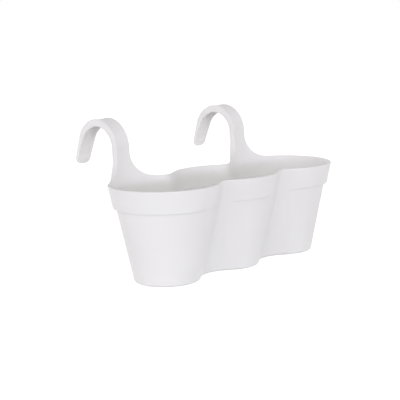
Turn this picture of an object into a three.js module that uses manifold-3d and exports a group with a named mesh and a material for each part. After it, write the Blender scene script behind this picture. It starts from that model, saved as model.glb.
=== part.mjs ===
// Balcony planter: three round pots run together in one trough that hangs on a rail by two hooks.
// Millimetres, +Z up. The origin is the middle of the underside, X runs along the trough,
// and the hooks reach back in +Y.

import * as THREE from 'three';
import { mergeVertices } from 'three/addons/utils/BufferGeometryUtils.js';
import Module from 'manifold-3d';

const wasm = await Module();
wasm.setup();

// Trough
const potPitch = 140;
const rimRadius = 88.6;
const potHeight = 153.5;
const draftAngle = 11.5;
const wall = 3;
const floorThickness = 3;
// A pot's radius and the radius of the pinch beside it add up to this at every height.
const pinchReach = 101;
const bandHeight = 36.3;
const bandStep = 5;
// The step under the band dies out over this last part of each pot's arc.
const stepFadeAngle = 24;
const bandEdge = 0.8;
const bandSlope = 0.5;
const baseEdge = 4;
const cornerRadius = 6;

// Underside
const footHeight = 4;
const footWidth = 6;
const padRadius = 13;
const drainRadius = 8;
const drainOffset = 28;

// Hooks
const hookWidth = 29.6;
const webThickness = 3;
const flangeThickness = 3;
const strapEdge = 1;
const flareRadius = 37.5;
const leanHeight = 30;
const leanBendRadius = 80;
const hookHeight = 246.5;
const riserBendRadius = 46;
const crownBendRadius = 45;
const crownBendAngle = 73;
const tipLength = 46;
const tipCornerRadius = 11.5;
const riserFlange = 11;
const crownFlange = 12.5;
const tipFlange = 4.8;
const flangeFadeStart = 18;
const flangeRunOut = 18;

// Drainage plate
const plateLevel = 30;
const plateThickness = 2;
const skirtDepth = 8;
const fingerHoleRadius = 10;
const holeRadius = 3;
const holeRows = [
  { radius: 20, count: 6 },
  { radius: 32, count: 9 },
  { radius: 44, count: 12 },
];

// Drain plugs
const plugFlangeRadius = 12;
const plugFlangeThickness = 1.8;
const plugWall = 1.8;
const plugStandProud = 1.5;
const plugGripThickness = 2.4;

// Fits
const seatGap = 0.3;
const plugGap = 0.3;
// At the lip a hook's back stands this far outside the wall, and below it both faces are sunk.
const lipOverlap = 0.3;
const weldDepth = 6;
const weldInset = 0.15;

// Steps of the curves
const potStep = 7.5;
const pinchStep = 15;
const cornerSteps = 4;
const flareSteps = 10;
const riserSteps = 2;
const riserBendSteps = 10;
const crownBendSteps = 9;
const tipSteps = 3;
const tipCornerSteps = 6;
const faceSteps = 6;
const pocketSteps = 5;
const roundSegments = 24;
const holeSegments = 8;

const radians = THREE.MathUtils.degToRad;
const { smoothstep } = THREE.MathUtils;
const draft = Math.tan(radians(draftAngle));
const bandLevel = potHeight - bandHeight;
const outerRadiusAtBand = rimRadius - draft * bandHeight;
const baseRadius = rimRadius - draft * potHeight - bandStep;
const floorTop = footHeight + floorThickness;

const bodyRadius = (z) => baseRadius + draft * z;
const bandRadius = (z) => outerRadiusAtBand + draft * (z - bandLevel);

const whitePlastic = { color: 0xf3f3f2, roughness: 0.5, metalness: 0 };
const plugPlastic = { color: 0xe4e4e2, roughness: 0.6, metalness: 0 };

// Solids and meshes

function toSolid(geometry) {
  const bare = geometry.clone();
  bare.deleteAttribute('normal');
  bare.deleteAttribute('uv');
  const merged = mergeVertices(bare, 1e-4);
  const vertProperties = new Float32Array(merged.attributes.position.array);
  const triVerts = new Uint32Array(merged.index.array);
  return new wasm.Manifold(new wasm.Mesh({ numProp: 3, vertProperties, triVerts }));
}

function toGeometry(solid) {
  const mesh = solid.getMesh();
  const geometry = new THREE.BufferGeometry();
  geometry.setAttribute('position', new THREE.BufferAttribute(mesh.vertProperties, 3));
  geometry.setIndex(new THREE.BufferAttribute(mesh.triVerts, 1));
  geometry.computeVertexNormals();
  return geometry;
}

function namedMesh(name, solid, finish) {
  const mesh = new THREE.Mesh(toGeometry(solid), new THREE.MeshStandardMaterial(finish));
  mesh.name = name;
  return mesh;
}

// Skins a stack of closed rings that all have the same number of points, and caps both ends.
function skinRings(rings, capPoints) {
  const count = rings[0].length;
  const positions = rings.flat().flatMap((point) => [point.x, point.y, point.z]);
  const index = [];
  for (let ring = 0; ring + 1 < rings.length; ring += 1) {
    for (let i = 0; i < count; i += 1) {
      const next = (i + 1) % count;
      const low = ring * count;
      const high = low + count;
      index.push(low + i, low + next, high + next);
      index.push(low + i, high + next, high + i);
    }
  }
  const last = (rings.length - 1) * count;
  const bottom = THREE.ShapeUtils.triangulateShape(capPoints(0), []);
  const top = THREE.ShapeUtils.triangulateShape(capPoints(rings.length - 1), []);
  bottom.forEach(([a, b, c]) => index.push(c, b, a));
  top.forEach(([a, b, c]) => index.push(last + a, last + b, last + c));
  const geometry = new THREE.BufferGeometry();
  geometry.setAttribute('position', new THREE.Float32BufferAttribute(positions, 3));
  geometry.setIndex(index);
  return geometry;
}

// Outline of three pots

// Every outline is an offset of the same three-lobed line, so it is kept as columns. A column's
// point at a radius is its anchor plus the radius times its normal, on a pot and in a pinch alike.
function outlineColumns() {
  const meet = Math.acos(potPitch / 2 / pinchReach);
  const pinchY = pinchReach * Math.sin(meet);
  const columns = [];

  function addArc(centreX, centreY, from, to, inPinch) {
    const step = radians(inPinch ? pinchStep : potStep);
    const count = Math.round(Math.abs(to - from) / step);
    const sign = inPinch ? -1 : 1;
    for (let i = 0; i < count; i += 1) {
      const angle = from + ((to - from) * i) / count;
      const direction = new THREE.Vector2(Math.cos(angle), Math.sin(angle));
      const centre = new THREE.Vector2(centreX, centreY);
      const fromEnd = Math.min(Math.abs(angle - from), Math.abs(to - angle));
      columns.push({
        anchor: inPinch ? centre.addScaledVector(direction, pinchReach) : centre,
        normal: direction.multiplyScalar(sign),
        stepShare: inPinch ? 0 : smoothstep(fromEnd, 0, radians(stepFadeAngle)),
      });
    }
  }

  const half = potPitch / 2;
  addArc(potPitch, 0, meet - Math.PI, Math.PI - meet, false);
  addArc(half, pinchY, -meet, meet - Math.PI, true);
  addArc(0, 0, meet, Math.PI - meet, false);
  addArc(-half, pinchY, -meet, meet - Math.PI, true);
  addArc(-potPitch, 0, meet, 2 * Math.PI - meet, false);
  addArc(-half, -pinchY, Math.PI - meet, meet, true);
  addArc(0, 0, Math.PI + meet, 2 * Math.PI - meet, false);
  addArc(half, -pinchY, Math.PI - meet, meet, true);
  return columns;
}

const columns = outlineColumns();

// The body's pinches fill out with height until they are flush with the band, and the band's
// rounded edge and the ledge inside it die out with the step.
function columnRadius(column, { radius, z, filled = false, inset = 0 }) {
  const fill = filled ? bandStep * Math.min(z / bandLevel, 1) : 0;
  return radius + fill * (1 - column.stepShare) - inset * column.stepShare;
}

function ringPoints(ring) {
  return columns.map((column) => {
    const flat = column.anchor.clone().addScaledVector(column.normal, columnRadius(column, ring));
    return new THREE.Vector3(flat.x, flat.y, ring.z);
  });
}

// Sweeps a profile of radius and height round the three-lobed outline.
function sweepRoundPots(profile) {
  const rings = profile.map(ringPoints);
  return skinRings(rings, (i) => rings[i].map((point) => new THREE.Vector2(point.x, point.y)));
}

// Rounds a corner between two profile points with a quarter turn of chords.
function roundedCorner(start, corner, end, filled) {
  const curve = new THREE.QuadraticBezierCurve(
    new THREE.Vector2(start[0], start[1]),
    new THREE.Vector2(corner[0], corner[1]),
    new THREE.Vector2(end[0], end[1]),
  );
  return curve.getPoints(cornerSteps).map((point) => ({ radius: point.x, z: point.y, filled }));
}

// Trough

function troughProfile() {
  const lipLevel = potHeight - wall / 2;
  const ledgeLevel = bandLevel + wall;
  const bandTop = bandLevel + bandSlope + bandEdge;
  const insideFoot = baseRadius - footWidth;
  const lipCentre = bandRadius(lipLevel) - wall / 2;
  const lip = Array.from({ length: cornerSteps + 1 }, (_, i) => {
    const angle = (Math.PI * i) / cornerSteps;
    return {
      radius: lipCentre + (wall / 2) * Math.cos(angle),
      z: lipLevel + (wall / 2) * Math.sin(angle),
    };
  });
  const inside = (z) => bodyRadius(z) - wall;
  return [
    { radius: insideFoot - footHeight * draft, z: footHeight },
    { radius: insideFoot, z: 0 },
    ...roundedCorner(
      [baseRadius - baseEdge, 0],
      [baseRadius, 0],
      [bodyRadius(baseEdge), baseEdge],
      true,
    ),
    { radius: bodyRadius(bandLevel), z: bandLevel, filled: true },
    { radius: bandRadius(bandLevel + bandSlope), z: bandLevel + bandSlope, inset: bandEdge },
    { radius: bandRadius(bandTop), z: bandTop },
    ...lip,
    { radius: bandRadius(ledgeLevel) - wall, z: ledgeLevel },
    { radius: inside(ledgeLevel - bandSlope), z: ledgeLevel - bandSlope, filled: true },
    ...roundedCorner(
      [inside(floorTop + cornerRadius), floorTop + cornerRadius],
      [inside(floorTop), floorTop],
      [inside(floorTop) - cornerRadius, floorTop],
      true,
    ),
  ];
}

// Hooks

const lipInside = bandRadius(potHeight) - wall;
const bendStart = potHeight + leanHeight;
const bendRise = leanBendRadius * Math.sin(radians(draftAngle));
const bendShift = leanBendRadius * (1 - Math.cos(radians(draftAngle)));
const uprightY = lipInside + draft * leanHeight + bendShift;
const riserTop = hookHeight - riserBendRadius;
const crownY = uprightY + riserBendRadius;

// The riser's face carries on up from the trough's inner wall, then bends upright.
function riserY(z) {
  if (z <= bendStart) return lipInside + draft * (z - potHeight);
  const left = Math.max(bendStart + bendRise - z, 0);
  return uprightY - leanBendRadius + Math.sqrt(leanBendRadius ** 2 - left ** 2);
}

// How far a face of this radius has curved away at a distance to the side.
function bow(radius, aside) {
  return radius - Math.sqrt(radius ** 2 - aside ** 2);
}

// A station has the place of the strap's outer face, the tilt of that face from upright, its
// half width, the depth of its flanges, the thickness of its web and the face's bow.
function riserStation(z) {
  const flareLeft = THREE.MathUtils.clamp(potHeight + flareRadius - z, 0, flareRadius);
  const halfWidth = hookWidth / 2 + bow(flareRadius, flareLeft);
  const lipDepth = webThickness + lipOverlap;
  const runOut = 1 - Math.min((z - potHeight) / flangeRunOut, 1);
  const depth = riserFlange - (riserFlange - lipDepth) * runOut ** 2;
  return { y: riserY(z), z, tilt: 0, halfWidth, depth, web: webThickness, bowRadius: riserY(z) };
}

// Below the lip the strap is sunk in the wall that it grows from.
function weldStation(z) {
  return {
    ...riserStation(potHeight),
    y: riserY(z) + weldInset,
    z,
    depth: wall - 2 * weldInset,
    bowRadius: riserY(z),
  };
}

function strapStation(y, z, tilt, depth) {
  const halfWidth = hookWidth / 2;
  return { y, z, tilt, halfWidth, depth, web: webThickness, bowRadius: uprightY };
}

function tipDepth(run) {
  const total = crownBendRadius * radians(crownBendAngle) + tipLength;
  return crownFlange - (crownFlange - tipFlange) * smoothstep(run, flangeFadeStart, total);
}

// Evenly spaced values from one end to the other, both ends included.
function spread(from, to, steps) {
  return Array.from({ length: steps + 1 }, (_, i) => from + ((to - from) * i) / steps);
}

function hookStations() {
  const stations = [potHeight - weldDepth, potHeight - wall / 2].map(weldStation);
  spread(Math.PI / 2, 0, flareSteps).forEach((turn) => {
    stations.push(riserStation(potHeight + flareRadius * (1 - Math.sin(turn))));
  });
  spread(potHeight + flareRadius, riserTop, riserSteps).slice(1).forEach((z) => {
    stations.push(riserStation(z));
  });
  spread(0, 90, riserBendSteps).slice(1).forEach((degrees) => {
    const tilt = radians(degrees);
    const y = crownY - riserBendRadius * Math.cos(tilt);
    const z = riserTop + riserBendRadius * Math.sin(tilt);
    const depth = riserFlange + (crownFlange - riserFlange) * smoothstep(degrees, 0, 90);
    stations.push(strapStation(y, z, tilt, depth));
  });
  spread(0, crownBendAngle, crownBendSteps).slice(1).forEach((degrees) => {
    const tilt = radians(90 + degrees);
    const y = crownY - crownBendRadius * Math.cos(tilt);
    const z = hookHeight - crownBendRadius + crownBendRadius * Math.sin(tilt);
    stations.push(strapStation(y, z, tilt, tipDepth(crownBendRadius * radians(degrees))));
  });
  return [...stations, ...tipStations(stations.at(-1))];
}

// The tip runs straight on and ends in a flat spoon with two round corners.
function tipStations(start) {
  const straight = tipLength - tipCornerRadius;
  const flatEnd = hookWidth / 2 - tipCornerRadius;
  const bendRun = crownBendRadius * radians(crownBendAngle);
  const runs = spread(0, straight, tipSteps).slice(1).map((run) => [run, hookWidth / 2]);
  spread(0, Math.PI / 2, tipCornerSteps).slice(1).forEach((turn) => {
    const run = straight + tipCornerRadius * Math.sin(turn);
    runs.push([run, flatEnd + tipCornerRadius * Math.cos(turn)]);
  });
  return runs.map(([run, halfWidth]) => {
    const depth = tipDepth(bendRun + run);
    const spoon = smoothstep(run, straight - tipCornerRadius / 2, straight + tipCornerRadius / 2);
    return {
      ...start,
      y: start.y + run * Math.sin(start.tilt),
      z: start.z + run * Math.cos(start.tilt),
      halfWidth,
      depth,
      web: webThickness + (depth - webThickness) * spoon,
    };
  });
}

// The section is a U: a thin web with a flange down each side, as side and depth pairs.
function hookSection({ halfWidth, depth, web, bowRadius }) {
  const flange = Math.min(flangeThickness, halfWidth / 2);
  const pocket = Math.min(web, depth - weldInset);
  const inner = halfWidth - flange;
  const at = (aside, down) => new THREE.Vector2(aside, down - bow(bowRadius, aside));
  const edge = halfWidth - strapEdge;
  return [
    at(-halfWidth, strapEdge),
    ...spread(-edge, edge, faceSteps).map((aside) => at(aside, 0)),
    at(halfWidth, strapEdge),
    at(halfWidth, depth),
    at(inner, depth),
    ...spread(inner, -inner, pocketSteps).map((aside) => at(aside, pocket)),
    at(-inner, depth),
    at(-halfWidth, depth),
  ];
}

function hookSolid(side) {
  const stations = hookStations();
  const sections = stations.map(hookSection);
  const rings = stations.map(({ y, z, tilt }, i) => sections[i].map((point) => new THREE.Vector3(
    side * potPitch + point.x,
    y + point.y * Math.cos(tilt),
    z - point.y * Math.sin(tilt),
  )));
  return toSolid(skinRings(rings, (i) => sections[i]));
}

// Round posts and holes

function post(radius, bottom, top, x, y, segments = roundSegments) {
  const geometry = new THREE.CylinderGeometry(radius, radius, top - bottom, segments);
  geometry.rotateX(Math.PI / 2);
  geometry.translate(x, y, (bottom + top) / 2);
  return toSolid(geometry);
}

const potCentres = [-potPitch, 0, potPitch];
const throughCut = 1;

function trough() {
  let solid = toSolid(sweepRoundPots(troughProfile()));
  [-1, 1].forEach((side) => {
    solid = solid.add(hookSolid(side));
  });
  potCentres.forEach((x) => {
    solid = solid.add(post(padRadius, 0, footHeight + floorThickness / 2, x, 0));
    solid = solid.subtract(post(drainRadius, -throughCut, floorTop + throughCut, x, drainOffset));
  });
  return solid;
}

// Drainage plate

// A tray turned upside down whose skirt seats on the taper of the trough's inner wall.
function drainagePlate() {
  const seat = (z) => bodyRadius(z) - wall - seatGap;
  const top = plateLevel + plateThickness;
  const bottom = top - skirtDepth;
  const profile = [
    { radius: seat(plateLevel) - plateThickness, z: plateLevel, filled: true },
    { radius: seat(bottom) - plateThickness, z: bottom, filled: true },
    { radius: seat(bottom), z: bottom, filled: true },
    { radius: seat(top), z: top, filled: true },
  ];
  let solid = toSolid(sweepRoundPots(profile));
  potCentres.forEach((x) => {
    const low = plateLevel - throughCut;
    const high = top + throughCut;
    solid = solid.subtract(post(fingerHoleRadius, low, high, x, 0));
    holeRows.forEach(({ radius, count }) => {
      spread(0, 2 * Math.PI, count).slice(1).forEach((angle) => {
        const holeX = x + radius * Math.cos(angle);
        const holeY = radius * Math.sin(angle);
        solid = solid.subtract(post(holeRadius, low, high, holeX, holeY, holeSegments));
      });
    });
  });
  return solid;
}

// Drain plugs

// A hollow stopper pushed up through the floor, with a bar across its mouth to pull it by.
function drainPlug(x) {
  const flangeTop = footHeight - plugGap;
  const flangeBottom = flangeTop - plugFlangeThickness;
  const stem = drainRadius - plugGap;
  const bore = stem - plugWall;
  const top = floorTop + plugStandProud;
  const ceiling = top - plugWall;
  const profile = [
    [0, ceiling],
    [bore, ceiling],
    [bore, flangeBottom],
    [plugFlangeRadius, flangeBottom],
    [plugFlangeRadius, flangeTop],
    [stem, flangeTop],
    [stem, top - strapEdge],
    [stem - strapEdge, top],
    [0, top],
  ].map(([radius, z]) => new THREE.Vector2(radius, z));
  const shell = new THREE.LatheGeometry(profile, roundSegments);
  shell.rotateX(Math.PI / 2);
  shell.translate(x, drainOffset, 0);
  const gripHeight = ceiling - flangeBottom + plugWall / 2;
  const grip = new THREE.BoxGeometry(plugGripThickness, 2 * bore + plugWall, gripHeight);
  grip.translate(x, drainOffset, flangeBottom + gripHeight / 2);
  return toSolid(shell).add(toSolid(grip));
}

// Assembly

const planter = new THREE.Group();
planter.add(namedMesh('trough', trough(), whitePlastic));
planter.add(namedMesh('drainage_plate', drainagePlate(), whitePlastic));
['left', 'middle', 'right'].forEach((place, i) => {
  planter.add(namedMesh(`drain_plug_${place}`, drainPlug(potCentres[i]), plugPlastic));
});

export default planter;
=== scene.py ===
# %% [markdown]
# # A white balcony planter
# Three round pots run together in one plastic trough, and two wide hooks grow out of its back
# rim to go over a balcony rail. Inside lies a loose drainage plate, and three plugs close the
# drain holes underneath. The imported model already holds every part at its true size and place,
# so the work here is to draw finer surfaces in the same places and to give them a finish.

import math

import bmesh
import bpy
import numpy as np
from mathutils import Matrix, Vector


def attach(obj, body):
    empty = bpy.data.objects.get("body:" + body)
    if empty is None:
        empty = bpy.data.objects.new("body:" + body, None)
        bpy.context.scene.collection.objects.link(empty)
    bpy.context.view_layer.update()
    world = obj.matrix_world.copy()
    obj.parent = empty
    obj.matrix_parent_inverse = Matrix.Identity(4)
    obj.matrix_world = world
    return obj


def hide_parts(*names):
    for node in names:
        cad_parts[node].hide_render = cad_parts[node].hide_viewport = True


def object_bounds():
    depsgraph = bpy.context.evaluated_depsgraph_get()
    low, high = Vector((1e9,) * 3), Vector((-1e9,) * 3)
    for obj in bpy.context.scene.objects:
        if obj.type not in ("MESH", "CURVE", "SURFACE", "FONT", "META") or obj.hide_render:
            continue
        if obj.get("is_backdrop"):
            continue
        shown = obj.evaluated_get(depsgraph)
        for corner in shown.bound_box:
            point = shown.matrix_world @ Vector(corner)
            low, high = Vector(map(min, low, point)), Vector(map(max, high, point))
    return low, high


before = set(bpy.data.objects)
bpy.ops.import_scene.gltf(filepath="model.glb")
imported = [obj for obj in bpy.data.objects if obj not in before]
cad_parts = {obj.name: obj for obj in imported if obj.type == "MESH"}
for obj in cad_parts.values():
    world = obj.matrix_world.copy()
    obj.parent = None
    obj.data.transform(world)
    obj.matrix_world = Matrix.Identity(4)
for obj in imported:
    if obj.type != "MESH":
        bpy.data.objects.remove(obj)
cad_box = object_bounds()
print("nodes:", ", ".join(sorted(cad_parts)))
print("box in metres:", [[round(value, 4) for value in corner] for corner in cad_box])

# %% [markdown]
# ## Sizes
# The planter is a moulding, and its drawing needs few numbers: the pitch and radius of the
# pots, one draft angle for every wall, one wall thickness, and the bends of the hooks. They are
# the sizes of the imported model, in millimetres, and each is written once.

# %% Sizes in millimetres
POT_PITCH = 140.0
RIM_RADIUS = 88.6
POT_HEIGHT = 153.5
DRAFT = math.tan(math.radians(11.5))
WALL = 3.0
PINCH_REACH = 101.0
BAND_LEVEL = POT_HEIGHT - 36.3
BAND_STEP = 5.0
STEP_FADE = math.radians(24)
BASE_RADIUS = RIM_RADIUS - DRAFT * POT_HEIGHT - BAND_STEP
FOOT_HEIGHT = 4.0
FLOOR_TOP = FOOT_HEIGHT + WALL
DRAIN_OFFSET = 28.0
DRAIN_RADIUS = 8.0
POT_CENTRES = (-POT_PITCH, 0.0, POT_PITCH)
MM = 0.001
print(f"base radius {BASE_RADIUS:.2f} mm, band from {BAND_LEVEL:.1f} mm up")

# %% [markdown]
# ## Camera
# A product photograph of this size is taken from a few metres with a long lens, which keeps
# upright walls nearly parallel. The camera stands ahead of the left end, a little above the
# rim, and is aimed rather than shifted, so that it can be walked round the object later.

# %% Camera
CAMERA_PLACE = Vector((-1.27405, -1.16896, 0.40699))
CAMERA_AZIMUTH = math.radians(-46.050)
CAMERA_ELEVATION = math.radians(9.826)
CAMERA_ROLL = math.radians(-1.576)


def aimed(place, azimuth, elevation, roll):
    """The matrix of a camera that looks back along this azimuth and elevation."""
    back = Vector((
        math.sin(azimuth) * math.cos(elevation),
        -math.cos(azimuth) * math.cos(elevation),
        math.sin(elevation),
    ))
    level = back.cross(Vector((0, 0, 1))).normalized() * -1
    upright = back.cross(level)
    right = level * math.cos(roll) + upright * math.sin(roll)
    up = upright * math.cos(roll) - level * math.sin(roll)
    matrix = Matrix((right, up, back)).transposed().to_4x4()
    matrix.translation = place
    return matrix


camera = bpy.data.objects.new("camera", bpy.data.cameras.new("camera"))
bpy.context.scene.collection.objects.link(camera)
camera.matrix_world = aimed(CAMERA_PLACE, CAMERA_AZIMUTH, CAMERA_ELEVATION, CAMERA_ROLL)
camera.data.sensor_width = 36.0
camera.data.lens = 95.79
camera.data.clip_end = 60.0
bpy.context.scene.camera = camera
print(f"camera {camera.location.length:.2f} m from the middle of the base")

# %% [markdown]
# ## Shader maths that reads like arithmetic
# A finish is a small program made of nodes. Wiring Math nodes by hand hides what they work
# out, so a socket is wrapped in a class whose operators add the nodes: `1 - mask` is then one
# Math node. Every other kind of node comes from one method, which is told the node's type, its
# settings and what goes into its sockets.

# %% A socket with operators, and a finish that adds nodes
class Term:
    """One output of a node, which can be added to, multiplied and so on like a number."""

    def __init__(self, finish, socket):
        self.finish = finish
        self.socket = socket

    def __add__(self, other):
        return self.finish.maths("ADD", self, other)

    __radd__ = __add__

    def __mul__(self, other):
        return self.finish.maths("MULTIPLY", self, other)

    __rmul__ = __mul__

    def __sub__(self, other):
        return self.finish.maths("SUBTRACT", self, other)

    def __rsub__(self, other):
        return self.finish.maths("SUBTRACT", other, self)


class Finish:
    """A material and the one method that adds nodes to it."""

    def __init__(self, name):
        self.material = bpy.data.materials.new(name)
        self.material.use_nodes = True
        self.tree = self.material.node_tree
        self.tree.nodes.clear()

    def node(self, kind, settings=None, sockets=None, output=0):
        made = self.tree.nodes.new(kind)
        for name, value in (settings or {}).items():
            setattr(made, name, value)
        for name, value in (sockets or {}).items():
            if isinstance(value, Term):
                self.tree.links.new(value.socket, made.inputs[name])
            else:
                made.inputs[name].default_value = value
        return Term(self, made.outputs[output]) if len(made.outputs) else made

    def maths(self, operation, first, second):
        return self.node("ShaderNodeMath", {"operation": operation}, {0: first, 1: second})

    def noise(self, where, scale, detail=2.0, roughness=0.5):
        sockets = {"Vector": where, "Scale": scale, "Detail": detail, "Roughness": roughness}
        return self.node("ShaderNodeTexNoise", {}, sockets, "Fac")

    def span(self, value, low, high, start=0.0, end=1.0):
        """Carries a value from the range low to high smoothly over to start to end."""
        sockets = {
            "Value": value, "From Min": low, "From Max": high, "To Min": start, "To Max": end,
        }
        return self.node("ShaderNodeMapRange", {"interpolation_type": "SMOOTHSTEP"}, sockets)

    def blend(self, factor, first, second):
        """Mixes two colours: socket 0 is the factor, 6 and 7 the colours, output 2 the mix."""
        sockets = {0: factor, 6: first, 7: second}
        return self.node("ShaderNodeMix", {"data_type": "RGBA"}, sockets, 2)


print("operators ready")

# %% [markdown]
# ## Floor, background and light
# The photograph has a pure white ground. The floor is white paint that also glows a little to
# the camera alone, so it reaches white without more light on the object and still goes grey
# where the object shades it. Light Path's camera, glossy and transmission rays pick out what
# sees that glow. From below the floor is clear, so that the underside can be looked at.

# %% Floor and background
def seen_directly(finish):
    """1 for camera, mirror and see-through rays, and 0 for the rays that light things."""
    rays = [
        finish.node("ShaderNodeLightPath", output=name)
        for name in ("Is Camera Ray", "Is Glossy Ray", "Is Transmission Ray")
    ]
    return finish.node(
        "ShaderNodeClamp", {}, {"Value": rays[0] + rays[1] + rays[2]}, "Result"
    )


WHITE = (1, 1, 1, 1)
FLOOR_PAINT = (0.8, 0.8, 0.8, 1)
FLOOR_GLOW = 0.66
FLOOR_HALF_WIDTH = 25.0

ground = Finish("ground_white")
painted = ground.node("ShaderNodeBsdfDiffuse", {}, {"Color": FLOOR_PAINT})
glow = ground.node("ShaderNodeEmission", {}, {"Color": WHITE, "Strength": FLOOR_GLOW})
glowing = ground.node("ShaderNodeAddShader", {}, {0: painted, 1: glow})
top_face = ground.node(
    "ShaderNodeMixShader", {}, {0: seen_directly(ground), 1: painted, 2: glowing}
)
from_below = ground.node("ShaderNodeNewGeometry", output="Backfacing")
clear = ground.node("ShaderNodeBsdfTransparent")
ground.node(
    "ShaderNodeOutputMaterial",
    {},
    {"Surface": ground.node(
        "ShaderNodeMixShader", {}, {0: from_below, 1: top_face, 2: clear}
    )},
)

corners = [(-1, -1, 0), (1, -1, 0), (1, 1, 0), (-1, 1, 0)]
floor_mesh = bpy.data.meshes.new("floor")
floor_mesh.from_pydata(
    [tuple(FLOOR_HALF_WIDTH * value for value in corner) for corner in corners], [], [(0, 1, 2, 3)]
)
floor_mesh.materials.append(ground.material)
floor = bpy.data.objects.new("floor", floor_mesh)
bpy.context.scene.collection.objects.link(floor)
floor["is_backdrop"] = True
print(f"floor {2 * FLOOR_HALF_WIDTH:.0f} m square")

# %% [markdown]
# The room gives most of the light, and gives it evenly. Its walls are pale, its ceiling is dim,
# and the wall towards the camera is brighter at mid height, which fills the fronts and leaves
# the depths of the pots to themselves. Written as a strength that depends only on direction,
# it has no edges that could show as reflections. Below the horizon it drops to what a floor
# would send back, which counts only for what goes below the floor, such as a plug pulled out.

# %% Room light
ROOM_COLOUR = (0.972, 0.944, 0.945, 1)
WALL_LIGHT = 0.99
CEILING_LIGHT = 0.34
CEILING_EDGE = (0.50, 0.80)
FRONT_LIGHT = 0.76
FRONT_EDGE = (0.62, 0.38)
FRONT_TURN = math.radians(-52)
FLOOR_LIGHT = 0.5
HORIZON_EDGE = (-0.02, -0.20)

room = bpy.data.worlds.new("white_room")
room.use_nodes = True
room.node_tree.nodes.clear()


class RoomFinish(Finish):
    """The world's node tree, filled in the same way as a material's."""

    def __init__(self, tree):
        self.tree = tree


walls = RoomFinish(room.node_tree)
outward = walls.node("ShaderNodeTexCoord", output="Generated")
upward = walls.node("ShaderNodeSeparateXYZ", {}, {"Vector": outward}, "Z")
to_front = (math.sin(FRONT_TURN), -math.cos(FRONT_TURN), 0.0)
forward = walls.node(
    "ShaderNodeVectorMath", {"operation": "DOT_PRODUCT"}, {0: outward, 1: to_front}, "Value"
)
overhead = walls.span(upward, *CEILING_EDGE)
front_wall = walls.span(upward, *FRONT_EDGE) * walls.span(forward, 0.0, 1.0)
strength = WALL_LIGHT + (CEILING_LIGHT - WALL_LIGHT) * overhead + FRONT_LIGHT * front_wall
strength = walls.span(upward, *HORIZON_EDGE, strength, FLOOR_LIGHT)
lighting = walls.node("ShaderNodeBackground", {}, {"Color": ROOM_COLOUR, "Strength": strength})
backdrop = walls.node("ShaderNodeBackground", {}, {"Color": WHITE, "Strength": 1.0})
walls.node(
    "ShaderNodeOutputWorld",
    {},
    {"Surface": walls.node(
        "ShaderNodeMixShader", {}, {0: seen_directly(walls), 1: lighting, 2: backdrop}
    )},
)
bpy.context.scene.world = room
print(f"walls {WALL_LIGHT}, ceiling {CEILING_LIGHT}, front up to {WALL_LIGHT + FRONT_LIGHT:.2f}")

# %% [markdown]
# Long strip lamps stand low in front at both sides of the camera, and one stands behind. Light
# that comes in only a little above the rims draws the crisp pale stripe along the top of each
# far inner wall, and its shadows run softly down the valleys between the pots. A strip is wide
# and thin, so a shadow's upright edges blur while its level edges stay clear.

# %% Strip lamps
LAMP_DISTANCE = 3.0
LAMP_RISE = math.radians(3.6)
STRIP_HEIGHT = 0.12
RIM_LEVEL = POT_HEIGHT * MM


def strip_lamp(name, turn, width, power, colour):
    """A level strip that faces the pots' rims, turned from straight ahead by so many degrees."""
    data = bpy.data.lights.new(name, "AREA")
    data.shape = "RECTANGLE"
    data.size = width
    data.size_y = STRIP_HEIGHT
    data.energy = power
    data.color = colour
    lamp = bpy.data.objects.new(name, data)
    turn = math.radians(turn)
    rise = LAMP_DISTANCE * math.tan(LAMP_RISE)
    lamp.location = (
        LAMP_DISTANCE * math.sin(turn), -LAMP_DISTANCE * math.cos(turn), RIM_LEVEL + rise
    )
    back = Vector(lamp.location) - Vector((0, 0, RIM_LEVEL))
    lamp.rotation_euler = back.to_track_quat("Z", "Y").to_euler()
    lamp.visible_camera = False
    lamp.visible_glossy = False
    bpy.context.scene.collection.objects.link(lamp)
    print(f"{name}: {power} W, {width} m wide")


strip_lamp("lamp_left", -85, 1.2, 7.4, (0.78, 0.83, 1.0))
strip_lamp("lamp_right", -22, 1.8, 11.3, (0.77, 0.83, 1.0))
strip_lamp("lamp_back", 165, 1.2, 17.3, (1.0, 0.98, 0.90))

# %% [markdown]
# ## White plastic
# The trough and its plate are moulded in white polypropylene, and the plugs in a softer,
# greyer plastic. A moulding of this kind is never one flat colour: the melt leaves faint
# clouds, the mould's spark-eroded skin gives a fine satin grain, long slow waves follow the
# flow, corners get rubbed a little smoother and feet a little greyer. The corners are also
# painted paler, partly as rubbing and partly as a painted highlight along their rounded edges.
# The rest comes from noises in the object's own space, so it stays put when a piece moves.

# %% Moulded plastic finish
CLOUD_SCALE, FLOW_SCALE, SPECK_SCALE, GRAIN_SCALE = 14.0, 55.0, 700.0, 1500.0
# Pale colour for convex corners: partly rubbed plastic, partly painted highlight along the edges.
PALE_WEAR_AND_HIGHLIGHT = (0.93, 0.93, 0.93, 1)
SCUFFED = (0.60, 0.59, 0.57, 1)
SCUFF_LEVELS = (0.0035, 0.0002)
SKIN_DEPTH = 0.0002


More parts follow.
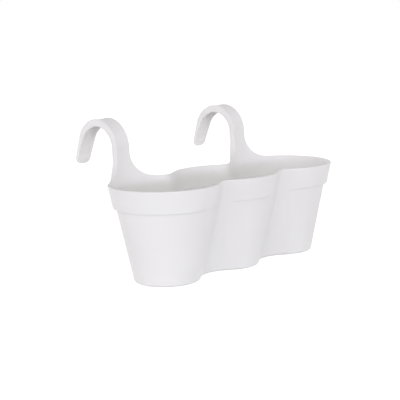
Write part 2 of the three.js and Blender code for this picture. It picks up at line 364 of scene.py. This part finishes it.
def moulded_plastic(name, base, shade, roughness, grain_depth):
    """A satin plastic: base is its colour, and shade what the clouds drift towards."""
    finish = Finish(name)
    where = finish.node("ShaderNodeTexCoord", output="Object")
    clouds = finish.noise(where, CLOUD_SCALE, 4.0, 0.6)
    flow = finish.noise(where, FLOW_SCALE, 3.0, 0.55)
    grain = finish.noise(where, GRAIN_SCALE, 3.0, 0.65)
    specks = finish.span(finish.noise(where, SPECK_SCALE, 1.0), 0.72, 0.80)
    # Convex corners, found by pointiness: painted paler as a highlight along the edges, and made a
    # little smoother as if rubbed.
    bent = finish.node("ShaderNodeNewGeometry", output="Pointiness")
    corner_wear_and_highlight = finish.span(bent, 0.52, 0.58)
    height = finish.node("ShaderNodeSeparateXYZ", {}, {"Vector": where}, "Z")
    foot_scuff = finish.span(height, *SCUFF_LEVELS) * finish.span(flow, 0.45, 0.62)

    drift = finish.span(clouds, 0.35, 0.68, 0.0, 0.85)
    colour = finish.blend(drift, base, shade)
    colour = finish.blend(specks * 0.06, colour, tuple(0.8 * part for part in shade[:3]) + (1,))
    # Painted highlight: convex corners drift towards the pale colour.
    colour = finish.blend(corner_wear_and_highlight * 0.25, colour, PALE_WEAR_AND_HIGHLIGHT)
    colour = finish.blend(foot_scuff * 0.3, colour, SCUFFED)

    satin = roughness + (flow - 0.5) * 0.10 + (grain - 0.5) * 0.12
    satin = satin - corner_wear_and_highlight * 0.06 + foot_scuff * 0.15

    skin = grain * grain_depth + clouds * 0.9 + flow * 0.12
    normal = finish.node(
        "ShaderNodeBump", {}, {"Strength": 0.35, "Distance": SKIN_DEPTH, "Height": skin}
    )
    plastic = finish.node("ShaderNodeBsdfPrincipled", {}, {
        "Base Color": colour, "Roughness": satin, "Normal": normal, "IOR": 1.49,
    })
    finish.node("ShaderNodeOutputMaterial", {}, {"Surface": plastic})
    return finish.material


white_plastic = moulded_plastic(
    "white_plastic_finish", (0.85, 0.848, 0.844, 1), (0.836, 0.834, 0.828, 1), 0.46, 0.3
)
plug_plastic = moulded_plastic(
    "plug_plastic_finish", (0.60, 0.60, 0.59, 1), (0.55, 0.55, 0.54, 1), 0.56, 0.8
)
print("finishes:", white_plastic.name, plug_plastic.name)

# %% [markdown]
# ## From rings of points to a piece
# Every piece here is a skin over rings of points. These helpers take points in millimetres and
# faces, give the piece its finish, tie it to its body and hide the imported node it replaces.
# Edges that turn sharply stay sharp, and weighted normals keep flat faces flat beside rounded
# ones.

# %% Piece helpers
SHARP_TURN = math.radians(38)


def mesh_object(name, points, faces):
    mesh = bpy.data.meshes.new(name)
    mesh.from_pydata([tuple(MM * float(value) for value in point) for point in points], [], faces)
    working = bmesh.new()
    working.from_mesh(mesh)
    bmesh.ops.recalc_face_normals(working, faces=working.faces)
    working.to_mesh(mesh)
    working.free()
    made = bpy.data.objects.new(name, mesh)
    bpy.context.scene.collection.objects.link(made)
    return made


def settle(piece):
    """Turns what the modifiers make of a piece into its plain mesh."""
    depsgraph = bpy.context.evaluated_depsgraph_get()
    settled = bpy.data.meshes.new_from_object(piece.evaluated_get(depsgraph))
    piece.modifiers.clear()
    piece.data = settled


def combine(piece, other, operation):
    """Adds another solid to a piece, or cuts it away, and removes the other."""
    modifier = piece.modifiers.new("combine", "BOOLEAN")
    modifier.operation = operation
    modifier.solver = "EXACT"
    modifier.object = other
    settle(piece)
    bpy.data.objects.remove(other)


def dress(piece, body, slot, finish, *nodes):
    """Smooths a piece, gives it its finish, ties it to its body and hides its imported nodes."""
    piece.data.materials.clear()
    piece.data.materials.append(finish)
    piece.data.polygons.foreach_set("material_index", [0] * len(piece.data.polygons))
    piece.data.shade_smooth()
    piece.data.set_sharp_from_angle(angle=SHARP_TURN)
    weighting = piece.modifiers.new("weighting", "WEIGHTED_NORMAL")
    weighting.keep_sharp = True
    settle(piece)
    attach(piece, body)
    for node in nodes:
        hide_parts(node)
    print(f"{piece.name}: {len(piece.data.vertices)} points, {len(piece.data.polygons)} faces")


def ring_faces(rings, size):
    """Quads between rings that follow one another, each a closed loop of the same size."""
    faces = []
    for ring in range(rings - 1):
        for i in range(size):
            low, high = ring * size, (ring + 1) * size
            after = (i + 1) % size
            faces.append((low + i, low + after, high + after, high + i))
    return faces


print(f"edges over {math.degrees(SHARP_TURN):.0f} degrees stay sharp")

# %% [markdown]
# ## The three-lobed outline
# Looked at from above, the wall is a chain of arcs: round pots, and between them short
# opposite arcs where two pots pinch together. Any wall of this planter is an offset of that
# chain, so the chain is kept as columns, each with an anchor, an outward direction, and a
# share that says how much of the step under the rim band is left there.

# %% Columns of the outline
POT_STEP = 2.5
PINCH_STEP = 4.0


def outline_columns(pot_step, pinch_step):
    """Columns round the whole outline, a step of so many degrees apart on each arc."""
    meet = math.acos(POT_PITCH / 2 / PINCH_REACH)
    pinch_y = PINCH_REACH * math.sin(meet)
    half = POT_PITCH / 2
    columns = []

    def arc(centre, start, end, in_pinch):
        step = math.radians(pinch_step if in_pinch else pot_step)
        count = round(abs(end - start) / step)
        for i in range(count):
            angle = start + (end - start) * i / count
            direction = np.array((math.cos(angle), math.sin(angle)))
            if in_pinch:
                columns.append((*(centre + PINCH_REACH * direction), *(-direction), 0.0))
                continue
            along = min(min(abs(angle - start), abs(end - angle)) / STEP_FADE, 1)
            columns.append((*centre, *direction, along * along * (3 - 2 * along)))

    turn = 2 * math.pi
    arc(np.array((POT_PITCH, 0)), meet - math.pi, math.pi - meet, False)
    arc(np.array((half, pinch_y)), -meet, meet - math.pi, True)
    arc(np.array((0, 0)), meet, math.pi - meet, False)
    arc(np.array((-half, pinch_y)), -meet, meet - math.pi, True)
    arc(np.array((-POT_PITCH, 0)), meet, turn - meet, False)
    arc(np.array((-half, -pinch_y)), math.pi - meet, meet, True)
    arc(np.array((0, 0)), math.pi + meet, turn - meet, False)
    arc(np.array((half, -pinch_y)), math.pi - meet, meet, True)
    return np.array(columns)


plain_columns = outline_columns(POT_STEP, PINCH_STEP)
print(f"{len(plain_columns)} columns round the outline")

# %% [markdown]
# Bare arcs that meet in a point of tangency show as a crease in soft light, because the
# curvature jumps there. The real valleys are broad and soft, so the chain is eased, at the
# wall's middle radius, by a weighted mean along the outline. The lobes are put back to their
# own radius, so only the pinches and what runs into them change, by a few millimetres: little
# at the foot, and more towards the rim, where the real ones are widest.

# %% Ease the pinches
FOOT_EASING = 8.0
RIM_EASING = 13.0
MIDDLE_RADIUS = 75.0


def eased_columns(columns, easing):
    """Columns of the same outline after a mean that reaches about this many mm each way."""
    wall = columns[:, :2] + MIDDLE_RADIUS * columns[:, 2:4]
    steps = np.linalg.norm(np.roll(wall, -1, axis=0) - wall, axis=1)
    along = np.cumsum(steps) - steps
    apart = np.abs(along[:, None] - along[None, :])
    apart = np.minimum(apart, steps.sum() - apart)
    weights = np.exp(-0.5 * (apart / easing) ** 2) * (steps + np.roll(steps, 1))
    weights /= weights.sum(axis=1, keepdims=True)

    lobe_share = weights @ (columns[:, 4] > 0)
    drawn_in = MIDDLE_RADIUS * (1 - math.exp(-0.5 * (easing / MIDDLE_RADIUS) ** 2))
    wall = weights @ wall + (lobe_share * drawn_in)[:, None] * columns[:, 2:4]

    ahead = np.roll(wall, -1, axis=0) - wall
    behind = wall - np.roll(wall, 1, axis=0)
    ratio = (np.linalg.norm(behind, axis=1) / np.linalg.norm(ahead, axis=1))[:, None]
    tangent = ahead * ratio + behind / ratio
    tangent /= np.linalg.norm(tangent, axis=1)[:, None]
    outward = np.column_stack([tangent[:, 1], -tangent[:, 0]])
    return np.column_stack([wall - MIDDLE_RADIUS * outward, outward, columns[:, 4]])


foot_columns = eased_columns(plain_columns, FOOT_EASING)
rim_columns = eased_columns(plain_columns, RIM_EASING)
fine_columns = outline_columns(POT_STEP / 10, PINCH_STEP / 10)
for radius, columns in ((BASE_RADIUS, foot_columns), (RIM_RADIUS, rim_columns)):
    before = fine_columns[:, :2] + radius * fine_columns[:, 2:4]
    after = columns[:, :2] + radius * columns[:, 2:4]
    gaps = np.linalg.norm(after[:, None] - before[None, :], axis=2).min(axis=1)
    print(f"at radius {radius:.1f} mm the easing moves the wall by {gaps.max():.2f} mm at most")

# %% [markdown]
# A profile is then a list of rings, each with a height, a depth behind the outermost face and
# an extra inset that only the lobes take. A ring's outline lies between the foot's eased columns
# and the rim's, by its height. In the pinches the wall fills out until it is flush with the
# band, which is how the step dies out there on the real moulding.

# %% Sweep a profile round the outline
def flush_radius(z):
    return BASE_RADIUS + DRAFT * z + BAND_STEP * min(z / BAND_LEVEL, 1)


def lobe_inset(z):
    """How far the lobes stand behind the outermost face below the band."""
    return BAND_STEP * min(z / BAND_LEVEL, 1)


def wall_line(z, depth, inset):
    """The outline at one height, between the foot's tight pinches and the rim's soft ones."""
    share = z / POT_HEIGHT
    lines = []
    for columns in (foot_columns, rim_columns):
        radius = flush_radius(z) - depth - inset * columns[:, 4]
        lines.append(columns[:, :2] + columns[:, 2:4] * radius[:, None])
    return (1 - share) * lines[0] + share * lines[1]


def sweep(profile):
    size = len(plain_columns)
    rings = [
        np.column_stack([wall_line(z, depth, inset), np.full(size, z)])
        for z, depth, inset in profile
    ]
    faces = ring_faces(len(rings), size)
    last = (len(rings) - 1) * size
    faces.append(tuple(range(size)))
    faces.append(tuple(range(last, last + size)))
    return np.concatenate(rings), faces


def rounded(start, corner, end, steps):
    """Points on the curve that leaves start towards corner and arrives at end from it."""
    start, corner, end = (np.array(point, float) for point in (start, corner, end))
    shares = np.linspace(0, 1, steps + 1)[:, None]
    return (1 - shares) ** 2 * start + 2 * shares * (1 - shares) * corner + shares ** 2 * end


print(f"rim radius check {flush_radius(POT_HEIGHT):.2f} mm")

# %% [markdown]
# ## The trough's shell
# The wall is 3 mm all over and leans out by 11.5 degrees, so that a stack of planters nests
# and the moulding leaves its tool. The profile runs from the recess under the floor, round the
# foot, up the body, out under the rim band, over the half-round lip and down the inside to the
# floor. Small rounds at every corner are what catch the light on the real one.

# %% Profile of the wall
LIP = WALL / 2
FOOT_WIDTH = 6.0
BASE_EDGE = 4.0
FLOOR_CORNER = 6.0
BAND_ROUND = 1.1


def body_ring(radius, z):
    """A ring whose radius is given in the lobes, where the body is set back under the band."""
    return (z, BASE_RADIUS + DRAFT * z - radius, lobe_inset(z))


def body_face(z):
    return BASE_RADIUS + DRAFT * z


inside_foot = BASE_RADIUS - FOOT_WIDTH
profile = [
    (FOOT_HEIGHT, flush_radius(FOOT_HEIGHT) - (inside_foot - FOOT_HEIGHT * DRAFT), 0.0),
    (1.2, flush_radius(1.2) - (inside_foot - 1.2 * DRAFT), 0.0),
    (0.3, flush_radius(0.3) - (inside_foot + 0.15), 0.0),
    (0.0, flush_radius(0.0) - (inside_foot + 0.8), 0.0),
]
profile += [
    body_ring(radius, z) for radius, z in rounded(
        (BASE_RADIUS - BASE_EDGE, 0), (BASE_RADIUS, 0), (body_face(BASE_EDGE), BASE_EDGE), 8
    )
]
profile += [body_ring(body_face(z), z) for z in (12, 30, 50, 70, 90, 106, BAND_LEVEL - 1.4)]

# The step: the body turns out under the band, and the band's lower edge turns up again.
step_corner = body_face(BAND_LEVEL)
under = flush_radius(BAND_LEVEL)
for radius, z in rounded(
    (body_face(BAND_LEVEL - 0.6), BAND_LEVEL - 0.6), (step_corner, BAND_LEVEL),
    (step_corner + 0.8, BAND_LEVEL + 0.1), 4,
):
    profile.append((z, 0.0, flush_radius(z) - radius))
for radius, z in rounded(
    (under - BAND_ROUND, BAND_LEVEL + 0.45), (under, BAND_LEVEL + 0.5),
    (flush_radius(BAND_LEVEL + 0.5 + BAND_ROUND), BAND_LEVEL + 0.5 + BAND_ROUND), 5,
):
    profile.append((z, 0.0, flush_radius(z) - radius))
profile += [(z, 0.0, 0.0) for z in (128, 136, 145, POT_HEIGHT - LIP - 1)]

lip_level = POT_HEIGHT - LIP
lip_centre = flush_radius(lip_level) - LIP
for angle in np.linspace(0, math.pi, 13):
    z = lip_level + LIP * math.sin(angle)
    profile.append((z, flush_radius(z) - lip_centre - LIP * math.cos(angle), 0.0))

ledge = BAND_LEVEL + WALL
profile += [(z, WALL, 0.0) for z in (150, 142, 132, ledge + 1.2)]
inner_edge = flush_radius(ledge) - WALL
inner_step = body_face(ledge) - WALL
for radius, z in rounded(
    (flush_radius(ledge + 0.8) - WALL, ledge + 0.8), (inner_edge, ledge),
    (inner_edge - 0.8, ledge - 0.08), 4,
):
    profile.append((z, WALL, flush_radius(z) - WALL - radius))
for radius, z in rounded(
    (inner_step + 0.9, ledge - 0.42), (inner_step, ledge - 0.5),
    (body_face(ledge - 1.4) - WALL, ledge - 1.4), 4,
):
    profile.append((z, WALL, flush_radius(z) - WALL - radius))
profile += [body_ring(body_face(z) - WALL, z) for z in (110, 90, 70, 50, 32)]
floor_wall = body_face(FLOOR_TOP) - WALL
profile += [
    body_ring(radius, z) for radius, z in rounded(
        (body_face(FLOOR_TOP + FLOOR_CORNER) - WALL, FLOOR_TOP + FLOOR_CORNER),
        (floor_wall, FLOOR_TOP), (floor_wall - FLOOR_CORNER, FLOOR_TOP), 8,
    )
]
print(f"{len(profile)} rings in the wall's profile")

# %% [markdown]
# Under each pot a round pad shares the weight with the foot, and behind it a drain hole goes
# through the floor. They are plain turned shapes, added and cut with the exact boolean.

# %% Shell, pads and drain holes
def turned(name, outline, x, y, segments=64):
    """A solid of revolution about an upright axis, from radius and height pairs."""
    angles = np.linspace(0, 2 * math.pi, segments, endpoint=False)
    points = [
        (x + radius * math.cos(angle), y + radius * math.sin(angle), z)
        for radius, z in outline for angle in angles
    ]
    faces = ring_faces(len(outline), segments)
    faces.append(tuple(range(segments)))
    last = (len(outline) - 1) * segments
    faces.append(tuple(range(last, last + segments)))
    return mesh_object(name, points, faces)


PAD_RADIUS = 13.0
PAD_ROUND = 0.8

shell = mesh_object("trough_shell", *sweep(profile))
for x in POT_CENTRES:
    edge = rounded((PAD_RADIUS - PAD_ROUND, 0), (PAD_RADIUS, 0), (PAD_RADIUS, PAD_ROUND), 4)
    pad = turned("pad", [*edge, (PAD_RADIUS, FOOT_HEIGHT + LIP)], x, 0.0)
    combine(shell, pad, "UNION")
for x in POT_CENTRES:
    hole = turned(
        "hole", [(DRAIN_RADIUS, -1.0), (DRAIN_RADIUS, FLOOR_TOP + 1.0)], x, DRAIN_OFFSET
    )
    combine(shell, hole, "DIFFERENCE")
dress(shell, "planter", "white_plastic", white_plastic, "trough")

# %% [markdown]
# ## The hooks
# Each hook is one strap that leaves the inner wall without a seam, leans on with it, bends
# upright, goes over the rail and ends in a flat spoon. Its section is a U, a thin web with a
# flange down each side, because that is stiff and still moulds in one piece. It is made by
# carrying that section along the strap and skinning what it leaves behind.
#
# A point of the section is known by its inset from the strap's edge and its depth behind the
# front face. Measured that way, one rule gives the round of the edge everywhere: on the
# straight strap, on the wide flare where it runs tangent into the lip, and round the spoon.

# %% Where the strap runs
HOOK_HALF = 14.8
WEB = 3.0
FLANGE = 3.0
EDGE_ROUND = 1.5
BACK_ROUND = 1.2
FLARE = 37.5
LEAN_HEIGHT = 30.0
LEAN_BEND = 80.0
HOOK_HEIGHT = 246.5
RISER_BEND = 46.0
CROWN_BEND = 45.0
CROWN_TURN = math.radians(73)
TIP_LENGTH = 46.0
TIP_CORNER = 11.5
RISER_FLANGE, CROWN_FLANGE, TIP_FLANGE = 11.0, 12.5, 4.8
FADE_START = 18.0
RUN_OUT = 18.0

LIP_INSIDE = flush_radius(POT_HEIGHT) - WALL
BEND_START = POT_HEIGHT + LEAN_HEIGHT
BEND_RISE = LEAN_BEND * math.sin(math.atan(DRAFT))
UPRIGHT_Y = LIP_INSIDE + DRAFT * LEAN_HEIGHT + LEAN_BEND * (1 - math.cos(math.atan(DRAFT)))
RISER_TOP = HOOK_HEIGHT - RISER_BEND
CROWN_Y = UPRIGHT_Y + RISER_BEND


def eased(value, low, high):
    share = min(max((value - low) / (high - low), 0.0), 1.0)
    return share * share * (3 - 2 * share)


def bow(radius, aside):
    """How far a face of this radius has curved away at a distance to the side."""
    return radius - math.sqrt(radius * radius - aside * aside)


def riser_y(z):
    if z <= BEND_START:
        return LIP_INSIDE + DRAFT * (z - POT_HEIGHT)
    left = max(BEND_START + BEND_RISE - z, 0.0)
    return UPRIGHT_Y - LEAN_BEND + math.sqrt(LEAN_BEND ** 2 - left ** 2)


def tip_depth(run):
    total = CROWN_BEND * CROWN_TURN + TIP_LENGTH
    return CROWN_FLANGE - (CROWN_FLANGE - TIP_FLANGE) * eased(run, FADE_START, total)


print(f"strap upright at y {UPRIGHT_Y:.2f} mm, bend begins at z {RISER_TOP:.1f} mm")

# %% [markdown]
# The stations come in four runs: the foot sunk in the wall and the flare above it, the two
# bends over the rail, the straight of the tip, and the turn round the spoon's corners. Each
# says where the front face is, how it is tilted, and how wide the strap is at a given inset.

# %% Stations along the strap
def flare_edge(z):
    """Half width at an inset, where the strap's edges are arcs that run into the lip."""
    down = max(POT_HEIGHT + FLARE - z, 0.0)

    def edge(inset):
        reach = FLARE + inset
        return 0.0, HOOK_HALF + FLARE - math.sqrt(max(reach * reach - down * down, 0.0))

    return edge


def straight_edge(inset):
    return 0.0, HOOK_HALF - inset


def spoon_edge(turn):
    """Along the spoon's corner an inset point lies on a smaller arc of the same centre."""

    def edge(inset):
        corner = TIP_CORNER - inset
        return corner * math.sin(turn), HOOK_HALF - TIP_CORNER + corner * math.cos(turn)

    return edge


def station(y, z, tilt, depth, edge, web=WEB, bow_radius=UPRIGHT_Y):
    return {
        "y": y, "z": z, "tilt": tilt, "depth": depth, "edge": edge, "web": web, "bow": bow_radius,
    }


def riser_station(z, sunk=0.0):
    run_out = 1 - min(max(z - POT_HEIGHT, 0.0) / RUN_OUT, 1)
    lip_depth = WEB + 0.02
    depth = RISER_FLANGE - (RISER_FLANGE - lip_depth) * run_out ** 2
    return station(
        riser_y(z) + sunk, z, 0.0, depth - 2 * sunk, flare_edge(z), WEB - 2 * sunk, riser_y(z)
    )


def hook_stations():
    stations = [riser_station(POT_HEIGHT - drop, 0.12) for drop in (6.0, 3.0, LIP + 0.3)]
    stations.append(riser_station(POT_HEIGHT - LIP + 0.15, 0.03))
    for turn in np.linspace(math.pi / 2, 0, 31):
        z = POT_HEIGHT - EDGE_ROUND + 0.4 + (FLARE + EDGE_ROUND - 0.4) * (1 - math.sin(turn))
        stations.append(riser_station(z))
    for z in np.linspace(POT_HEIGHT + FLARE, RISER_TOP, 6)[1:]:
        stations.append(riser_station(z))
    for tilt in np.radians(np.linspace(0, 90, 31)[1:]):
        depth = RISER_FLANGE + (CROWN_FLANGE - RISER_FLANGE) * eased(tilt, 0, math.pi / 2)
        y = CROWN_Y - RISER_BEND * math.cos(tilt)
        stations.append(
            station(y, RISER_TOP + RISER_BEND * math.sin(tilt), tilt, depth, straight_edge)
        )
    for turned_by in np.linspace(0, CROWN_TURN, 27)[1:]:
        tilt = math.pi / 2 + turned_by
        y = CROWN_Y - CROWN_BEND * math.cos(tilt)
        z = HOOK_HEIGHT - CROWN_BEND + CROWN_BEND * math.sin(tilt)
        depth = tip_depth(CROWN_BEND * turned_by)
        stations.append(station(y, z, tilt, depth, straight_edge))
    return stations + tip_stations(stations[-1])


def tip_stations(start):
    straight = TIP_LENGTH - TIP_CORNER
    bend_run = CROWN_BEND * CROWN_TURN
    along = [(run, 0.0, straight_edge) for run in np.linspace(0, straight, 16)[1:]]
    along += [
        (straight, TIP_CORNER * math.sin(turn), spoon_edge(turn))
        for turn in np.linspace(0, math.pi / 2, 15)[1:]
    ]
    stations = []
    for run, beyond, edge in along:
        depth = tip_depth(bend_run + run + beyond)
        spoon = eased(run + beyond, straight - TIP_CORNER / 2, straight + TIP_CORNER / 2)
        web = WEB + (depth - WEB) * spoon
        y = start["y"] + run * math.sin(start["tilt"])
        z = start["z"] + run * math.cos(start["tilt"])
        stations.append(station(y, z, start["tilt"], depth, edge, web, start["bow"]))
    return stations


print(f"{len(hook_stations())} stations along each hook")

# %% [markdown]
# The right half of the section is listed from the middle of the front face round to the middle
# of the web's back, and the left half mirrors it. The spoon's end is closed by joining each
# point to its mirror, so the round of the edge goes right across it.

# %% Section and skin of a hook
MOUTH_ROUND = 0.9
ROOT_ROUND = 1.6
FACE_POINTS = 19
WEB_POINTS = 13


def half_section(place):
    """Insets and depths of the right half, with a share across for points on a face."""
    depth = place["depth"]
    pocket = max(depth - place["web"], 0.02)
    mouth = min(MOUTH_ROUND, pocket / 2)
    root = min(ROOT_ROUND, pocket / 2)
    back = min(BACK_ROUND, depth - EDGE_ROUND - 0.05)
    quarter = np.linspace(0, math.pi / 2, 6)
    rows = [(share, EDGE_ROUND, 0.0) for share in np.linspace(0, 1, FACE_POINTS)]
    rows += [
        (1, EDGE_ROUND * (1 - math.sin(t)), EDGE_ROUND * (1 - math.cos(t))) for t in quarter[1:]
    ]
    rows += [(1, 0.0, EDGE_ROUND + (depth - back - EDGE_ROUND) * share) for share in (0.33, 0.67)]
    rows += [(1, back * (1 - math.cos(t)), depth - back * (1 - math.sin(t))) for t in quarter]
    rows += [
        (1, FLANGE - mouth * (1 - math.sin(t)), depth - mouth * (1 - math.cos(t)))
        for t in quarter
    ]
    rows += [
        (1, FLANGE + root * (1 - math.cos(t)), place["web"] + root * (1 - math.sin(t)))
        for t in quarter
    ]
    rows += [(share, FLANGE + root, place["web"]) for share in np.linspace(1, 0, WEB_POINTS)[1:]]
    return rows


def strap_point(place, x, side, row):
    share, inset, depth = row
    ahead, half = place["edge"](inset)
    aside = side * share * half
    down = depth - bow(place["bow"], aside)
    sine, cosine = math.sin(place["tilt"]), math.cos(place["tilt"])
    return (
        x + aside,
        place["y"] + ahead * sine + down * cosine,
        place["z"] + ahead * cosine - down * sine,
    )


def make_hook(name, x):
    points = []
    for place in hook_stations():
        rows = half_section(place)
        points += [strap_point(place, x, 1, row) for row in rows]
        points += [strap_point(place, x, -1, row) for row in rows[-2:0:-1]]
    count = len(rows)
    size = 2 * count - 2
    stations = len(points) // size
    faces = ring_faces(stations, size)
    faces.append(tuple(range(size)))
    last = (stations - 1) * size
    mirror = [0] + [size - i for i in range(1, count - 1)] + [count - 1]
    front, back = FACE_POINTS - 1, count - WEB_POINTS
    faces.append(
        tuple(last + i for i in range(front + 2))
        + tuple(last + mirror[i] for i in range(front + 1, 0, -1))
    )
    for i in range(front + 1, back):
        faces.append((last + i, last + i + 1, last + mirror[i + 1], last + mirror[i]))
    faces.append(
        tuple(last + i for i in range(back, count))
        + tuple(last + mirror[i] for i in range(count - 2, back - 1, -1))
    )
    hook = mesh_object(name, points, faces)
    dress(hook, "planter", "white_plastic", white_plastic, "trough")
    return hook


for side, x in (("left", -POT_PITCH), ("right", POT_PITCH)):
    make_hook(f"hook_{side}", x)

# %% [markdown]
# ## The drainage plate
# Roots stand clear of the drained water on a loose plate: a shallow tray turned upside down,
# whose skirt rests on the taper of the wall. Rows of small holes let the water through, and a
# finger hole in each pot lifts it out.

# %% Drainage plate
PLATE_LEVEL = 30.0
PLATE = 2.0
SKIRT = 8.0
SEAT_GAP = 0.3
FINGER_RADIUS = 10.0
HOLE_RADIUS = 3.0
HOLE_ROWS = ((20.0, 6), (32.0, 9), (44.0, 12))


def plate_ring(back_from_seat, z):
    """A ring of the plate, this far in from where the skirt would touch the wall."""
    return (z, WALL + SEAT_GAP + back_from_seat, lobe_inset(z))


plate_top = PLATE_LEVEL + PLATE
skirt_foot = plate_top - SKIRT
plate_profile = [
    plate_ring(PLATE + 0.8, PLATE_LEVEL),
    plate_ring(PLATE + 0.25, PLATE_LEVEL - 0.2),
    plate_ring(PLATE, PLATE_LEVEL - 0.8),
    plate_ring(PLATE, skirt_foot + 0.3),
    plate_ring(PLATE - 0.3, skirt_foot),
    plate_ring(0.3, skirt_foot),
    plate_ring(0.0, skirt_foot + 0.3),
    plate_ring(0.0, plate_top - 1.0),
    plate_ring(0.1, plate_top - 0.45),
    plate_ring(0.4, plate_top - 0.12),
    plate_ring(1.0, plate_top),
]
plate = mesh_object("plate", *sweep(plate_profile))
drill_points, drill_faces = [], []


def drill(x, y, radius, segments):
    """Adds one upright cutter to the set that is cut from the plate in one go."""
    start = len(drill_points)
    for z in (PLATE_LEVEL - 1.0, plate_top + 1.0):
        for i in range(segments):
            angle = 2 * math.pi * i / segments
            drill_points.append((x + radius * math.cos(angle), y + radius * math.sin(angle), z))
    for i in range(segments):
        after = (i + 1) % segments
        drill_faces.append((start + i, start + after, start + segments + after,
                            start + segments + i))
    drill_faces.append(tuple(start + i for i in reversed(range(segments))))
    drill_faces.append(tuple(start + segments + i for i in range(segments)))


for x in POT_CENTRES:
    drill(x, 0.0, FINGER_RADIUS, 48)
    for row_radius, count in HOLE_ROWS:
        for i in range(count):
            angle = 2 * math.pi * (i + 1) / count
            across, back = row_radius * math.cos(angle), row_radius * math.sin(angle)
            drill(x + across, back, HOLE_RADIUS, 20)
combine(plate, mesh_object("drills", drill_points, drill_faces), "DIFFERENCE")
dress(plate, "plate", "white_plastic", white_plastic, "drainage_plate")

# %% [markdown]
# ## The drain plugs
# Each plug is a small hollow stopper in a softer plastic. Its stem fills the drain hole, its
# flange stops against the recess under the floor, and a bar across its mouth gives a finger
# something to pull on.

# %% Drain plugs
PLUG_FLANGE = 12.0
PLUG_WALL = 1.8
PLUG_GAP = 0.3
PLUG_PROUD = 1.5
GRIP = 2.4


def make_plug(name, x, node):
    flange_top = FOOT_HEIGHT - PLUG_GAP
    flange_foot = flange_top - PLUG_WALL
    stem = DRAIN_RADIUS - PLUG_GAP
    bore = stem - PLUG_WALL
    top = FLOOR_TOP + PLUG_PROUD
    ceiling = top - PLUG_WALL
    outline = [(0.05, ceiling), (bore - 0.8, ceiling), (bore - 0.2, ceiling - 0.2)]
    outline += [(bore, ceiling - 0.8), (bore, flange_foot + 0.3), (bore + 0.3, flange_foot)]
    outline += [(PLUG_FLANGE - 0.5, flange_foot), (PLUG_FLANGE - 0.12, flange_foot + 0.15)]
    outline += [(PLUG_FLANGE, flange_foot + 0.5), (PLUG_FLANGE, flange_top - 0.4)]
    outline += [(PLUG_FLANGE - 0.12, flange_top - 0.1), (PLUG_FLANGE - 0.4, flange_top)]
    outline += [(stem + 0.4, flange_top), (stem, flange_top + 0.4), (stem, top - 1.0)]
    outline += [(stem - 0.3, top - 0.3), (stem - 1.0, top), (0.05, top)]
    plug = turned(name, outline, x, DRAIN_OFFSET)
    half, reach, soft = GRIP / 2, bore + PLUG_WALL / 2, 0.35
    low, high = flange_foot, ceiling + PLUG_WALL / 2
    bar = []
    for y in (-reach, reach):
        bar += [(x + across, DRAIN_OFFSET + y, z) for across, z in (
            (-half + soft, low), (half - soft, low), (half, low + soft), (half, high),
            (-half, high), (-half, low + soft),
        )]
    faces = ring_faces(2, 6) + [tuple(range(6)), tuple(range(6, 12))]
    combine(plug, mesh_object("bar", bar, faces), "UNION")
    dress(plug, name, "plug_plastic", plug_plastic, node)


for place, x in zip(("left", "middle", "right"), POT_CENTRES):
    make_plug(f"plug_{place}", x, f"drain_plug_{place}")

# %% [markdown]
# ## Check the size, and show colours plainly
# The dressed model has to stay the size of the imported one, so both boxes are written down and
# compared. Colours are shown as they are, with no tone curve.

# %% Size and finish
bpy.context.scene.view_settings.view_transform = "Standard"
visual_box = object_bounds()
growth = [
    round(1000 * (float(visual) - float(cad)), 3)
    for visual_corner, cad_corner in zip(visual_box, cad_box)
    for visual, cad in zip(visual_corner, cad_corner)
]
print("visual minus packed box, mm:", growth)
